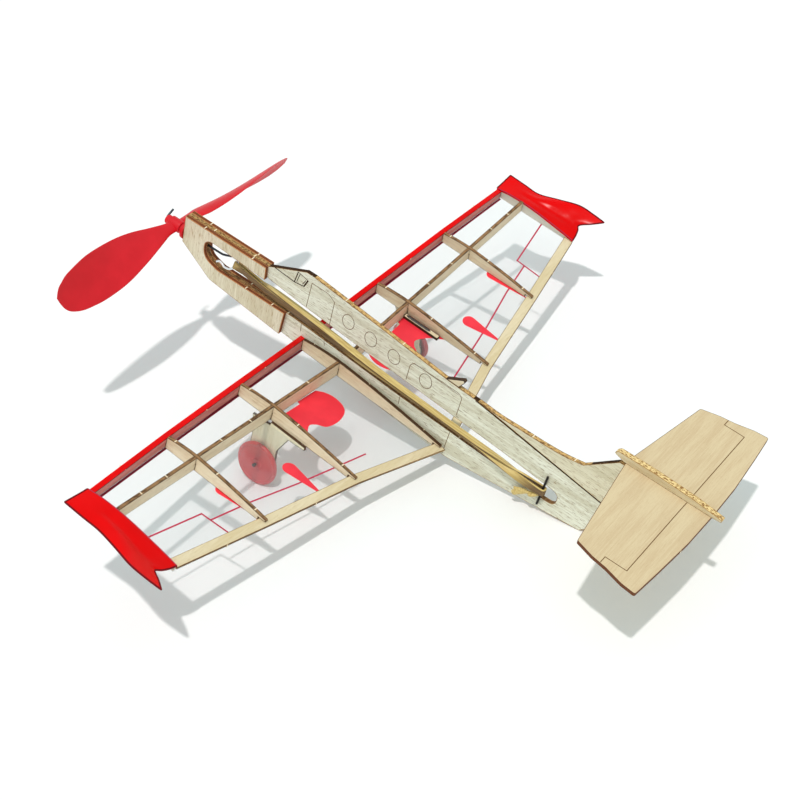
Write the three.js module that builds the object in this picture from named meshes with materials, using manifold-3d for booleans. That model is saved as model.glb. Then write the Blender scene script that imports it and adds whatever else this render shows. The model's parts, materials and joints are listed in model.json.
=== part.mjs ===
import * as THREE from 'three';
import Module from 'manifold-3d';
import * as BufferGeometryUtils from 'three/addons/utils/BufferGeometryUtils.js';

// Rubber-powered model plane, millimetres, +X right wing, +Y nose, +Z up.
// The airframe is drawn level in its own frame (y = 0, z = 0 at the top front
// corner of the nose) and then pitched nose-up on its wheels and tail.
const PITCH = THREE.MathUtils.degToRad(12.0);
const AIRFRAME_LIFT = 76.29;           // puts the wheels and the tail foot on z = 0
const AIRFRAME_FORWARD = 125.1;        // puts the middle of the length on y = 0
const GAP = 0.1;                       // glue gap between neighbouring pieces

const CORE_T = 2.0;                    // fuselage sheet
const DOUBLER_T = 1.8;                 // nose cheeks
const TAIL_T = 1.5;                    // tailplane sheet
const RIB_T = 1.6;
const SPAR_T = 1.6;
const THRUST_Z = -10.6;                // height of the propeller axis
const SHAFT_R = 0.5;
const PROP_R = 74.2;
const WHEEL_R = 10.1;
const WHEEL_W = 2.4;
const WHEEL_AT = [54.9, -92.9, -48.0]; // wheel centre, right side
const SPLAY = THREE.MathUtils.degToRad(8);

// wing: a flat-bottomed panel per side, raised by dihedral and incidence
const WING_AT = [1.45, -91, -32.5];
const RISE = 0.12;                     // dihedral rise per millimetre of span
const DIHEDRAL = Math.atan(RISE);
const INCIDENCE = Math.atan(0.055);
const PANEL = 139.6;                   // root to tip rib
const RIB_AT = [0.8, 46.9, 94.5, 139.2];
const LE_V = [23.0, 20.6, 17.9, 15.0]; // leading edge ahead of the spar, per rib
const TE_V = [-59.6, -48.0, -39.5, -31.0];
const SPAR_H = [7.9, 7.3, 6.7, 6.2];
const LE_W = 3.0;
const LE_H = [5.6, 5.4, 5.0, 4.0];
const TE_W = 4.6;
const TE_H = 1.5;
const FILM_T = 0.3;
const WRAP_T = 0.35;

const wasm = await Module();
wasm.setup();

const solid = (g) => {
  const c = g.clone();
  c.deleteAttribute('normal');
  c.deleteAttribute('uv');
  const m = BufferGeometryUtils.mergeVertices(c, 1e-4);
  return new wasm.Manifold(new wasm.Mesh({
    numProp: 3,
    vertProperties: new Float32Array(m.attributes.position.array),
    triVerts: new Uint32Array(m.index.array),
  }));
};
const surface = (m) => {
  const r = m.getMesh();
  const g = new THREE.BufferGeometry();
  g.setAttribute('position', new THREE.BufferAttribute(new Float32Array(r.vertProperties), 3));
  g.setIndex(new THREE.BufferAttribute(new Uint32Array(r.triVerts), 1));
  g.computeVertexNormals();
  return g;
};
// indexed geometry with its faces turned outwards
const outward = (at, ix) => {
  const g = new THREE.BufferGeometry();
  g.setAttribute('position', new THREE.Float32BufferAttribute(at, 3));
  g.setIndex(ix);
  if (solid(g).volume() < 0) {
    for (let i = 0; i < ix.length; i += 3) [ix[i], ix[i + 1]] = [ix[i + 1], ix[i]];
    g.setIndex(ix);
  }
  g.computeVertexNormals();
  return g;
};
const cut = (a, ...bs) => surface(bs.reduce((s, b) => s.subtract(solid(b)), solid(a)));
const join = (a, ...bs) => surface(bs.reduce((s, b) => s.add(solid(b)), solid(a)));

const mats = {};
const mat = (key, color, roughness, metalness = 0) => {
  mats[key] = new THREE.MeshStandardMaterial({ color, roughness, metalness });
};
mat('balsa', 0xd3cdb2, 0.75);
mat('birch', 0xdcc39d, 0.6);
mat('dark', 0x3a3029, 0.5);
mat('steel', 0xb4b6b8, 0.3, 1);
mat('red', 0xd8202c, 0.35);
mat('film', 0xe8efee, 0.35);
mat('rubber', 0xbf9f58, 0.6);

const airframe = new THREE.Group();
airframe.rotation.x = PITCH;
airframe.position.set(0, AIRFRAME_FORWARD, AIRFRAME_LIFT);
const group = new THREE.Group();
group.add(airframe);

const add = (name, geometry, key, parent = airframe) => {
  const m = new THREE.Mesh(geometry, mats[key]);
  m.name = name;
  parent.add(m);
  return m;
};

// closed outline with rounded corners: points [a, b, radius]
const outline = (pts, Kind = THREE.Shape) => {
  const s = new Kind();
  pts.forEach(([a, b, r = 0], i) => {
    const p = new THREE.Vector2(a, b);
    const before = pts[(i + pts.length - 1) % pts.length];
    const after = pts[(i + 1) % pts.length];
    const u = new THREE.Vector2(before[0] - a, before[1] - b);
    const w = new THREE.Vector2(after[0] - a, after[1] - b);
    if (r > 0) {
      const half = u.angleTo(w) / 2;
      const d = r / Math.tan(half);
      const p0 = p.clone().add(u.setLength(d));
      const p1 = p.clone().add(w.setLength(d));
      if (i === 0) s.moveTo(p0.x, p0.y); else s.lineTo(p0.x, p0.y);
      s.quadraticCurveTo(a, b, p1.x, p1.y);
    } else if (i === 0) s.moveTo(a, b);
    else s.lineTo(a, b);
  });
  s.closePath();
  return s;
};
const SIDE = new THREE.Matrix4().makeBasis(
  new THREE.Vector3(0, 1, 0), new THREE.Vector3(0, 0, 1), new THREE.Vector3(1, 0, 0));
// sheet standing in the side view: outline in (y, z), thickness along x from x0
const upright = (pts, x0, t, holes = []) => {
  const s = outline(pts);
  holes.forEach((h) => s.holes.push(outline(h, THREE.Path)));
  const g = new THREE.ExtrudeGeometry(s, { depth: t, bevelEnabled: false, curveSegments: 6 });
  return g.applyMatrix4(SIDE).translate(x0, 0, 0);
};
// sheet lying in the plan view: outline in (x, y), thickness along z from z0
const lying = (pts, z0, t, holes = []) => {
  const s = outline(pts);
  holes.forEach((h) => s.holes.push(outline(h, THREE.Path)));
  const g = new THREE.ExtrudeGeometry(s, { depth: t, bevelEnabled: false, curveSegments: 6 });
  return g.translate(0, 0, z0);
};
const rod = (r, from, to, segments = 16) => {
  const a = new THREE.Vector3(...from);
  const b = new THREE.Vector3(...to);
  const d = b.clone().sub(a);
  const g = new THREE.CylinderGeometry(r, r, d.length(), segments);
  g.applyQuaternion(new THREE.Quaternion().setFromUnitVectors(
    new THREE.Vector3(0, 1, 0), d.clone().normalize()));
  return g.translate(...a.add(b).multiplyScalar(0.5).toArray());
};
const wire = (pts, r, steps, segments = 10) => {
  const section = new THREE.Shape();
  section.absarc(0, 0, r, 0, Math.PI * 2, false);
  const path = new THREE.CatmullRomCurve3(pts.map((p) => new THREE.Vector3(...p)), false, 'centripetal');
  return new THREE.ExtrudeGeometry(section, {
    extrudePath: path, steps, curveSegments: segments, bevelEnabled: false });
};
// the same piece for the other wing
const mirrored = (g) => {
  const m = BufferGeometryUtils.mergeVertices(g.clone().deleteAttribute('uv'), 1e-5);
  m.scale(-1, 1, 1);
  const ix = m.index.array;
  for (let i = 0; i < ix.length; i += 3) [ix[i], ix[i + 1]] = [ix[i + 1], ix[i]];
  m.computeVertexNormals();
  return m;
};

// ---------------------------------------------------------------- fuselage
// long slot for the rubber, narrowing to the back and ending in a round eye
const slotTop = [[-46.4, -6.4], [-66, -8.7], [-102, -11.8], [-125, -13.4], [-150, -15.3],
  [-175, -17.3], [-194, -19.3]];
const slotBottom = [[-194, -26.9], [-177, -26.0], [-152, -24.7], [-124, -23.2], [-89, -20.6],
  [-66, -18.7], [-43, -18.0]];
const slot = [[-11.6, -5.0, 6], ...slotTop, [-200, -19.9, 1.5], [-204.6, -20.6, 3.4],
  [-204.4, -27.6, 3.4], [-199, -27.7, 1.5], ...slotBottom, [-18, -18.0, 4], [-11.9, -14.6, 4]];
const seamFront = [-159.1, -0.1];
const seamRear = [-234.5, -12.83];
const tailFoot = [-217.8, -31.7];
const core = upright([[0, 0], [-46.5, 0], [-66.4, 9.5, 1.2], [-70.6, 9.5, 1.5], [-108, 5.3, 40],
  [-143, 0.9, 40], seamFront, seamRear, tailFoot, [-150, -39.6, 30], [-58, -30.8, 20],
  [-16.5, -26.0, 4], [0.7, -14.5]], -CORE_T / 2, CORE_T, [slot]);
add('fuselage_core', cut(core, rod(0.8, [0, -30, THRUST_Z], [0, 6, THRUST_Z])), 'balsa');

// cheeks: U-shaped sheets glued on both sides of the nose, open to the back
const cheek = [[0, 0], [-46.5, 0], [-46.6, -6.7], [-17, -5.1, 5], [-11.7, -5.6, 5], [-12.2, -15.5, 6],
  [-20.5, -18.2, 6], [-59.4, -17.9], [-58.2, -30.8], [-16.5, -26.0, 4], [0.7, -14.5]];
add('nose_doubler_right', upright(cheek, CORE_T / 2 + GAP, DOUBLER_T), 'balsa');
add('nose_doubler_left', upright(cheek, -CORE_T / 2 - GAP - DOUBLER_T, DOUBLER_T), 'balsa');

// spine and fin in one sheet above the seam, carrying the tailplane
const stabTop = 15.8;
const stabBottom = stabTop - TAIL_T;
const fin = [[-159.4, 0.05], [-170, -1.0, 50], [-181, -0.55, 60], [-191, -0.45, 60], [-201, 0.1, 60],
  [-209.9, 1.9], [-223.3, stabBottom - GAP], [-258.4, stabBottom - GAP],
  [seamRear[0] - 0.15, seamRear[1] + 0.16]];
add('tail_fin', upright(fin, -CORE_T / 2, CORE_T), 'balsa');
// swept blade aerial on the spine
add('antenna_blade', upright([[-142.2, 1.1], [-150.2, 5.7, 0.5], [-151.0, 4.7, 0.5],
  [-148.8, 0.7]], -CORE_T / 2, CORE_T), 'balsa');

const stabHalf = [[0, -225.4], [48.2, -232.5, 1.2], [50.6, -240.5, 6], [51.6, -247, 6],
  [53.8, -255, 6], [54.4, -261.2, 1], [39.9, -262.5], [19.3, -264.0], [0, -264.3]];
const stab = [...stabHalf, ...stabHalf.slice(1, -1).reverse().map(([a, b, r]) => [-a, b, r])];
add('stabilizer', lying(stab, stabBottom, TAIL_T), 'birch');
// long pointed cap standing on the tailplane over the fin
add('fin_cap', upright([[-224.6, stabTop + GAP], [-219.8, 17.6, 0.6], [-221.6, 19.3, 1.5], [-238, 19.5, 30],
  [-256, 18.8, 30], [-268.6, 17.3, 0.5], [-268.4, 16.2, 0.5], [-264.4, stabTop + GAP]],
-1.3, 2.6), 'birch');

// ---------------------------------------------------------------- propeller
// thrust bearing: flange on the nose with a short boss for the shaft
const bearing = new THREE.LatheGeometry([[0.7, 0.75], [3.9, 0.75], [3.9, 2.1], [2.7, 2.4], [2.7, 3.5],
  [0.7, 3.5], [0.7, 0.75]].map(([a, b]) => new THREE.Vector2(a, b)), 24);
add('thrust_bearing', bearing.translate(0, 0, THRUST_Z), 'red');

const HUB_Y = 6.9;
const PROP_PHASE = THREE.MathUtils.degToRad(2.8);
// [radius, chord ahead of the spoke line, chord behind it, thickness]
const bladeStations = [[2.0, 2.6, 2.6, 2.6], [7, 3.4, 2.8, 2.3], [12, 4.5, 4.2, 1.9], [17, 5.6, 5.7, 1.6],
  [23, 6.7, 7.5, 1.4], [29, 7.5, 9.2, 1.3], [35, 8.0, 10.9, 1.2], [41, 8.2, 12.2, 1.1], [47, 8.2, 13.0, 1.0],
  [53, 7.9, 13.5, 0.95], [58, 7.1, 13.4, 0.9], [63, 5.9, 13.0, 0.85], [67, 4.7, 11.9, 0.85],
  [70, 2.9, 10.4, 0.8], [72, 1.5, 8.4, 0.75], [73.4, -0.5, 5.6, 0.65], [PROP_R, -2.4, 3.0, 0.5]];
const PITCH_ADVANCE = 222;             // distance per turn that sets the blade angles
const blade = (hand) => {
  const ring = 14;
  const at = [];
  bladeStations.forEach(([r, ahead, behind, thick]) => {
    const angle = Math.min(Math.atan(PITCH_ADVANCE / (2 * Math.PI * r)), THREE.MathUtils.degToRad(66));
    const chord = ahead + behind;
    for (let i = 0; i < ring; i++) {
      const a = (i / ring) * Math.PI * 2;
      const c = Math.cos(a) * chord / 2 + (ahead - behind) / 2;
      const w = Math.sin(a) * thick / 2 + 0.05 * chord * (Math.sin(a) ** 2 - Math.cos(a) ** 2 / 4);
      const y = HUB_Y + c * Math.sin(angle) + w * Math.cos(angle);
      const z = -c * Math.cos(angle) + w * Math.sin(angle);
      at.push(hand * r, y, hand * z);
    }
  });
  const ix = [];
  const n = bladeStations.length;
  for (let s = 0; s < n - 1; s++) {
    for (let i = 0; i < ring; i++) {
      const a = s * ring + i;
      const b = s * ring + (i + 1) % ring;
      ix.push(a, b, a + ring, b, b + ring, a + ring);
    }
  }
  for (let i = 1; i < ring - 1; i++) {
    ix.push(0, i + 1, i);
    const e = (n - 1) * ring;
    ix.push(e, e + i, e + i + 1);
  }
  return outward(at, ix).rotateY(PROP_PHASE).translate(0, 0, THRUST_Z);
};
const hub = new THREE.LatheGeometry([[0, 3.85], [2.5, 3.85], [2.9, 4.3], [2.9, 10.2], [2.2, 10.6], [2.2, 12.4],
  [1.9, 12.8], [0, 12.8]].map(([a, b]) => new THREE.Vector2(a, b)), 24).translate(0, 0, THRUST_Z);
const propeller = join(hub, blade(1), blade(-1));
add('propeller', cut(propeller, rod(0.7, [0, 0, THRUST_Z], [0, 20, THRUST_Z])), 'red');

// steel shaft: bent pin in front, hook behind; the hook lies 40 degrees below level
const hookTilt = THREE.MathUtils.degToRad(40);
const inHook = (y, s) => [-s * Math.cos(hookTilt), y, THRUST_Z - s * Math.sin(hookTilt)];
const shaftPath = [[5.0, 13.9, THRUST_Z + 2.1], [3.2, 13.75, THRUST_Z + 1.35], [1.2, 13.6, THRUST_Z + 0.4],
  [0.15, 13.0, THRUST_Z], [0, 11.8, THRUST_Z], [0, 4, THRUST_Z], [0, -6, THRUST_Z], inHook(-18.5, 0),
  inHook(-21.5, -0.4), inHook(-24.5, -1.4), inHook(-27.4, -1.5), inHook(-28.9, -0.4), inHook(-29.2, 0.9),
  inHook(-28.7, 2.3), inHook(-27.0, 3.8), inHook(-24.6, 4.2), inHook(-22.6, 3.5), inHook(-20.9, 3.2),
  inHook(-19.7, 4.2)];
add('prop_shaft', wire(shaftPath, SHAFT_R, 90, 5), 'steel');

// ---------------------------------------------------------------- rubber motor
const bend = (r, [cx, cy], from, to, n) => Array.from({ length: n + 1 }, (_, i) => {
  const a = from + (to - from) * (i / n);
  return [cx + r * Math.cos(a), cy + r * Math.sin(a)];
});
// flat strip, two strands lying side by side in the slot
const RUBBER_T = 1.0;
const RUBBER_H = 3.2;
// height of the slack band along its length
const sagLine = [[-28, -11.8], [-50, -13.3], [-78, -15.9], [-128, -20.7], [-165, -22.0], [-197, -22.9]];
const rubberZ = (y) => {
  const i = Math.max(1, sagLine.findIndex(([a]) => a <= y));
  const [[y0, z0], [y1, z1]] = y < -197 ? sagLine.slice(-2) : sagLine.slice(i - 1, i + 1);
  return THREE.MathUtils.lerp(z0, z1, THREE.MathUtils.clamp((y - y0) / (y1 - y0), 0, 1));
};
const sag = (g) => {
  const p = g.attributes.position;
  for (let i = 0; i < p.count; i++) p.setZ(i, p.getZ(i) + rubberZ(p.getY(i)));
  g.computeVertexNormals();
  return g;
};
const strandPath = (x, y) => {
  const back = THREE.MathUtils.smoothstep(-y, 176, 194);
  return x < 0 ? x - 2.55 * back : x - 1.15 * back;
};
const runs = [];
for (let y = -33.6; y > -176; y -= 23.7) runs.push(y);
for (let y = -176; y > -195.5; y -= 3) runs.push(y);
const pegX = -1.85;
const eye = [pegX, -197.6];
const inner = 0.85;
const rubberOutline = [
  ...runs.map((y) => [strandPath(0.2, y) + RUBBER_T - 0.15, y]),
  ...bend(inner + RUBBER_T, eye, 0, -Math.PI, 12),
  ...runs.slice().reverse().map((y) => [strandPath(-0.2, y) - RUBBER_T + 0.15, y]),
  ...runs.map((y) => [strandPath(-0.2, y) + 0.05, y]),
  ...bend(inner, eye, -Math.PI, 0, 12),
  ...runs.slice().reverse().map((y) => [strandPath(0.2, y) - 0.05, y]),
];
add('rubber_strands', sag(lying(rubberOutline, -RUBBER_H / 2, RUBBER_H)), 'rubber');
// front bight over the hook, turning with it
const HOOK_EYE = [0, -29.1];
const bight = lying([...bend(1.6, HOOK_EYE, 0, Math.PI, 12), [-1.15, -33.2], [-0.1, -33.2], [-0.12, -31.6],
  ...bend(0.62, HOOK_EYE, Math.PI, 0, 10), [0.12, -31.6], [0.1, -33.2], [1.15, -33.2]], -0.9, 1.8);
bight.rotateY(Math.PI / 2 - hookTilt);
const [bx, , bz] = inHook(0, 0.8);
add('rubber_front_bight', bight.translate(bx, 0, bz), 'rubber');
// tied ends of the rubber hanging beside the eye
const knot = wire([[-2.5, -186.0, -31.3], [-2.4, -188.2, -29.6], [-2.5, -190.6, -28.9], [-2.8, -193.0, -27.6],
  [-2.6, -195.0, -26.3]], 1.15, 20, 5);
add('rubber_knot', knot, 'rubber');
// stiff pin across the eye that holds the rear bight
add('motor_peg', rod(0.5, [pegX, -198.1, -14.0], [pegX, -197.3, -31.4], 12), 'dark');

// ---------------------------------------------------------------- wing panels
const lerpAt = (table, u) => {
  for (let i = 0; i < RIB_AT.length - 1; i++) {
    if (u <= RIB_AT[i + 1] || i === RIB_AT.length - 2) {
      return THREE.MathUtils.lerp(table[i], table[i + 1], (u - RIB_AT[i]) / (RIB_AT[i + 1] - RIB_AT[i]));
    }
  }
  return table[0];
};
const ribTop = (i, v) => {
  const front = LE_V[i] - LE_W;
  const rear = TE_V[i];
  if (v >= 0) return THREE.MathUtils.lerp(SPAR_H[i], LE_H[i] + 0.5, (v / front) ** 2);
  const t = v / rear;
  return SPAR_H[i] - (SPAR_H[i] - TE_H - 0.6) * t ** 1.4;
};
const ribShape = (i) => {
  const front = LE_V[i] - LE_W - GAP;
  const rear = TE_V[i] + 1.8;
  const top = [];
  for (let k = 0; k <= 14; k++) {
    const v = THREE.MathUtils.lerp(front, rear, k / 14);
    top.push([v, ribTop(i, v)]);
  }
  return [...top, [rear, TE_H + GAP], [TE_V[i] + TE_W + GAP, TE_H + GAP], [TE_V[i] + TE_W + GAP, 0],
    [front, 0]];
};
// closed body through convex sections of equal corner count; the first one stands
// upright against the fuselage side instead of square to the panel
const strip = (sections, rooted = true) => {
  const rows = sections.map((row, k) => row.map(([u, v, w]) => [
    k === 0 && rooted ? u + RISE * w : u, v, w]));
  const n = rows[0].length;
  const ix = [];
  for (let k = 0; k < rows.length - 1; k++) {
    for (let i = 0; i < n; i++) {
      const a = k * n + i;
      const b = k * n + (i + 1) % n;
      ix.push(a, b, a + n, b, b + n, a + n);
    }
  }
  const e = (rows.length - 1) * n;
  for (let i = 1; i < n - 1; i++) ix.push(0, i + 1, i, e, e + i, e + i + 1);
  return outward(rows.flat(2), ix);
};
const box = (u0, u1, v0, v1, w0, w1) => new THREE.BoxGeometry(u1 - u0, v1 - v0, w1 - w0)
  .translate((u0 + u1) / 2, (v0 + v1) / 2, (w0 + w1) / 2);

const stations = [0, RIB_AT[1], RIB_AT[2], RIB_AT[3] - 1];
const leFront = (u) => lerpAt(LE_V, u);
const leTop = (u) => lerpAt(LE_H, u);
const wing = {};
wing.leading_edge = strip(stations.map((u) => [
  [u, leFront(u), 0.9], [u, leFront(u) - 0.9, leTop(u)], [u, leFront(u) - LE_W, leTop(u)],
  [u, leFront(u) - LE_W, 0]]));
// red covering folded over the front and top of the leading edge
const wrapSection = (u, off, back, foot) => {
  const f = leFront(u);
  const h = leTop(u);
  return [[u, f + off, foot], [u, f + off, 0.9 + off / 2], [u, f - 0.9 + off / 2, h + off],
    [u, f - LE_W - back, h + off], [u, f - LE_W - back, foot]];
};
wing.le_wrap = cut(strip(stations.map((u) => wrapSection(u, GAP + WRAP_T, 0, 0.3))),
  strip([-5, ...stations.slice(1, -1), 142].map((u) => wrapSection(u, GAP, 4, -4)), false));
// the root rib stands upright against the fuselage
const upRoot = new THREE.Matrix4().makeShear(0, 0, 0, 0, RISE, 0);
// spar with half-depth slots from the top where the ribs cross
const sparBlank = strip([0, RIB_AT[1], RIB_AT[2], RIB_AT[3] - RIB_T / 2 - GAP].map((u) => {
  const h = lerpAt(SPAR_H, u);
  return [[u, SPAR_T / 2, 0], [u, SPAR_T / 2, h], [u, -SPAR_T / 2, h], [u, -SPAR_T / 2, 0]];
}));
wing.main_spar = cut(sparBlank, ...[0, 1, 2].map((i) => {
  const g = box(RIB_AT[i] - RIB_T / 2 - GAP, RIB_AT[i] + RIB_T / 2 + GAP, -2, 2, SPAR_H[i] / 2, 12);
  return i === 0 ? g.applyMatrix4(upRoot) : g;
}));
['root_rib', 'rib_2', 'rib_3'].forEach((name, i) => {
  const g = upright(ribShape(i), RIB_AT[i] - RIB_T / 2, RIB_T);
  if (i === 0) g.applyMatrix4(upRoot);
  wing[name] = cut(g, box(RIB_AT[i] - 3, RIB_AT[i] + 3, -SPAR_T / 2 - GAP, SPAR_T / 2 + GAP, -2,
    SPAR_H[i] / 2 + GAP));
});
wing.tip_rib = upright([[14.9, 0], [14.2, 3.4], [8, 4.6], [0, 4.9], [-9, 4.4], [-18, 3.3], [-24.5, 2.3],
  [-30.8, 1.2], [-30.8, 0]], RIB_AT[3] - RIB_T / 2, RIB_T);
// flat strip along the trailing edge, lying on the covering
const teEnd = RIB_AT[3] - RIB_T / 2 - GAP;
wing.trailing_edge = strip([0, RIB_AT[1], RIB_AT[2], teEnd].map((u) => {
  const v = lerpAt(TE_V, u);
  return [[u, v + TE_W, 0], [u, v + TE_W, TE_H], [u, v, TE_H - 0.5], [u, v, 0]];
}));
['root_rib', 'rib_2', 'rib_3'].forEach((name, i) => {
  wing[name] = cut(wing[name], box(RIB_AT[i] - 3, RIB_AT[i] + 3, TE_V[i] - 5, TE_V[i] + TE_W + 0.8, -3,
    TE_H + GAP));
});
// covering under the frame, slit where the landing-gear leg comes up
const filmEdge = [[0, LE_V[0]], [RIB_AT[1], LE_V[1]], [RIB_AT[2], LE_V[2]], [PANEL + 0.6, LE_V[3] + 0.1],
  [PANEL + 0.6, TE_V[3] - 0.1], [RIB_AT[2], TE_V[2]], [RIB_AT[1], TE_V[1]], [0, TE_V[0]]];
const legSlit = [[47.85, -1.9], [49.95, -1.9], [49.95, -21.5], [47.85, -21.5]];
const filmFlat = filmEdge.map(([a, b]) => [a, b]).reverse();
wing.wing_film = lying(filmFlat, -GAP - FILM_T, FILM_T, [legSlit]);

// red tip: thin formed shell with a pointed front corner and a forked tail
// rows from front to back, each from the tip rib [v, w] out to the free edge [u, v, w]
const tipRows = [
  [[15.0, 4.4], [150.3, 15.2, 4.9]], [[8, 5.5], [150.2, 6, 4.6]], [[0, 5.8], [150.1, -2.2, 4.5]],
  [[-9, 5.3], [152.6, -12, 6.1]], [[-18, 4.2], [155.4, -22.2, 7.5]], [[-25, 3.2], [155.5, -30.5, 7.4]],
];
const tipInner = RIB_AT[3] - 0.6;
const tipTop = tipRows.map(([[v0, w0], [u1, v1, w1]]) => [0, 0.2, 0.4, 0.6, 0.8, 1].map((t) => [
  tipInner + (u1 - tipInner) * t, v0 + (v1 - v0) * t, w0 + (w1 - w0) * t ** 1.3]));
// the last row runs round the fork: tail of the rib, notch, pointed rear corner
tipTop.push([[tipInner, -31.0, 2.1], [141.8, -30.4, 2.5], [145.0, -29.4, 3.1], [147.8, -28.2, 3.8],
  [151.4, -33.0, 5.6], [155.0, -37.3, 7.2]]);
tipTop[5][3] = [147.9, -25.6, 4.6];
tipTop[5][4] = [151.8, -28.4, 6.0];
const sheetBody = (rows, t) => {
  const nr = rows.length;
  const nc = rows[0].length;
  const at = [...rows.flat().flat(), ...rows.flat().map(([a, b, c]) => [a, b, c - t]).flat()];
  const o = nr * nc;
  const ix = [];
  const quad = (a, b, c, d) => ix.push(a, b, c, a, c, d);
  for (let i = 0; i < nr - 1; i++) {
    for (let j = 0; j < nc - 1; j++) {
      const a = i * nc + j;
      quad(a, a + nc, a + nc + 1, a + 1);
      quad(o + a, o + a + 1, o + a + nc + 1, o + a + nc);
    }
  }
  for (let j = 0; j < nc - 1; j++) {
    quad(j, j + 1, o + j + 1, o + j);
    const e = (nr - 1) * nc + j;
    quad(e + 1, e, o + e, o + e + 1);
  }
  for (let i = 0; i < nr - 1; i++) {
    const a = i * nc;
    quad(a + nc, a, o + a, o + a + nc);
    const b = a + nc - 1;
    quad(b, b + nc, o + b + nc, o + b);
  }
  return outward(at, ix);
};
wing.tip_fairing = sheetBody(tipTop, 0.4);
// small pad glued beside the second rib, inboard of the leg
wing.gear_pad = box(43.0, 45.2, -20.4, -1.2, 0.05, 1.5);

const keys = { leading_edge: 'balsa', le_wrap: 'red', wing_film: 'film', tip_fairing: 'red', gear_pad: 'birch' };
[['right', 1], ['left', -1]].forEach(([side, s]) => {
  const panel = new THREE.Group();
  panel.position.set(s * WING_AT[0], WING_AT[1], WING_AT[2]);
  panel.rotation.order = 'YXZ';
  panel.rotation.y = -s * DIHEDRAL;
  panel.rotation.x = INCIDENCE;
  airframe.add(panel);
  Object.entries(wing).forEach(([name, g]) => {
    add(`${name}_${side}`, s > 0 ? g : mirrored(g), keys[name] || 'balsa', panel);
  });

  // landing gear: a splayed sheet leg, a pin axle and a disc wheel
  const gear = new THREE.Group();
  gear.position.set(s * WHEEL_AT[0], WHEEL_AT[1], WHEEL_AT[2]);
  gear.rotation.y = -s * SPLAY;
  airframe.add(gear);
  const legX = -WHEEL_W / 2 - 0.4 - 1.2;
  const legPts = [[-0.2, 20.7], [-0.6, 22.3], [-19.0, 21.0], [-19.0, 19.4], [-10.6, 19.2], [-6.6, 10.4, 3]];
  for (let k = 0; k <= 16; k++) {
    const a = Math.PI - 0.55 + (Math.PI + 1.1) * (k / 16);
    legPts.push([8.2 * Math.cos(a), 8.2 * Math.sin(a)]);
  }
  legPts.push([6.9, 10.4, 3], [9.0, 20.7]);
  const leg = cut(upright(legPts, legX, 1.2), rod(0.55, [-6, 0, 0], [6, 0, 0]));
  const axle = join(rod(0.45, [legX - 1.0, 0, 0], [WHEEL_W / 2 + 1.6, 0, 0]),
    rod(0.95, [legX - 1.0, 0, 0], [legX - 0.3, 0, 0]), rod(0.85, [WHEEL_W / 2 + 0.9, 0, 0], [WHEEL_W / 2 + 1.6, 0, 0]));
  const half = WHEEL_W / 2;
  const wheel = new THREE.LatheGeometry([[0.65, -half], [2.4, -half], [3.0, -half + 0.35], [8.6, -half + 0.45],
    [9.4, -half], [9.9, -half + 0.35], [WHEEL_R, 0], [9.9, half - 0.35], [9.4, half], [8.6, half - 0.45],
    [3.0, half - 0.35], [2.4, half + 0.1], [0.65, half + 0.1], [0.65, -half]]
    .map(([a, b]) => new THREE.Vector2(a, b)), 48).rotateZ(-Math.PI / 2);
  [['gear_leg', leg, 'balsa'], ['axle', axle, 'dark'], ['wheel', wheel, 'red']].forEach(([name, g, key]) => {
    add(`${name}_${side}`, s > 0 ? g : mirrored(g), key, gear);
  });
});

export default group;
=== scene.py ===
import json
import math

import bmesh
import bpy
from mathutils import Matrix, Vector, noise


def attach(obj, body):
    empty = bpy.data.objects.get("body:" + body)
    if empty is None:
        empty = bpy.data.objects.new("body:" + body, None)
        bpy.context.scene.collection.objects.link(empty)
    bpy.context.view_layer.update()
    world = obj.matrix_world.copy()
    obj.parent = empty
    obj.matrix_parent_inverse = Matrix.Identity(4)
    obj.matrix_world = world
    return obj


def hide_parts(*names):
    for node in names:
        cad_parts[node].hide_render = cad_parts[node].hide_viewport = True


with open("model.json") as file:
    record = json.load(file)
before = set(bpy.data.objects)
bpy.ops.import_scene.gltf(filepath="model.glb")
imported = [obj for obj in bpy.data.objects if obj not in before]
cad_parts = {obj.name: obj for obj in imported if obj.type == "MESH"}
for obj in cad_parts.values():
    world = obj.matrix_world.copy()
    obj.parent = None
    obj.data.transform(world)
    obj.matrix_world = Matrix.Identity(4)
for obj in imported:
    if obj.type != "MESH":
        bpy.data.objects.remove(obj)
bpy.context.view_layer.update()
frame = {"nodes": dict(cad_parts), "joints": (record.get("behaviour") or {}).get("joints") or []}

MM = 0.001
scene = bpy.context.scene
nodes = frame["nodes"]
joints = {j["name"]: j for j in frame["joints"]}

# ------------------------------------------------------------ camera and light
cam = bpy.data.objects.new("camera", bpy.data.cameras.new("camera"))
scene.collection.objects.link(cam)
cam.location = (-0.415105, -0.294544, 0.424160)
cam.rotation_euler = [math.radians(a) for a in (52.2049, -0.0316, -53.7137)]
cam.data.lens = 68.563
cam.data.sensor_width = 36
cam.data.clip_start = 0.01
scene.camera = cam
scene.view_settings.view_transform = "Standard"

scene.world = bpy.data.worlds.new("studio")
scene.world.use_nodes = True
sky = scene.world.node_tree.nodes["Background"]
sky.inputs["Color"].default_value = (0.885, 0.995, 0.995, 1)
sky.inputs["Strength"].default_value = 0.73

key = bpy.data.objects.new("key", bpy.data.lights.new("key", "SUN"))
scene.collection.objects.link(key)
key.data.energy = 1.70
key.data.angle = math.radians(2.0)
key.data.color = (1.0, 0.962, 0.945)
key.rotation_euler = Vector((0.345, 0.128, -0.930)).to_track_quat("-Z", "Y").to_euler()

# ------------------------------------------------------------ frames, mm to row
def frame_of(x, y, z, origin):
    """Matrix from millimetres on axes x, y, z at origin to the row frame."""
    m = Matrix((x, y, z)).transposed().to_4x4()
    m.translation = origin
    return m @ Matrix.Scale(MM, 4)


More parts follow.
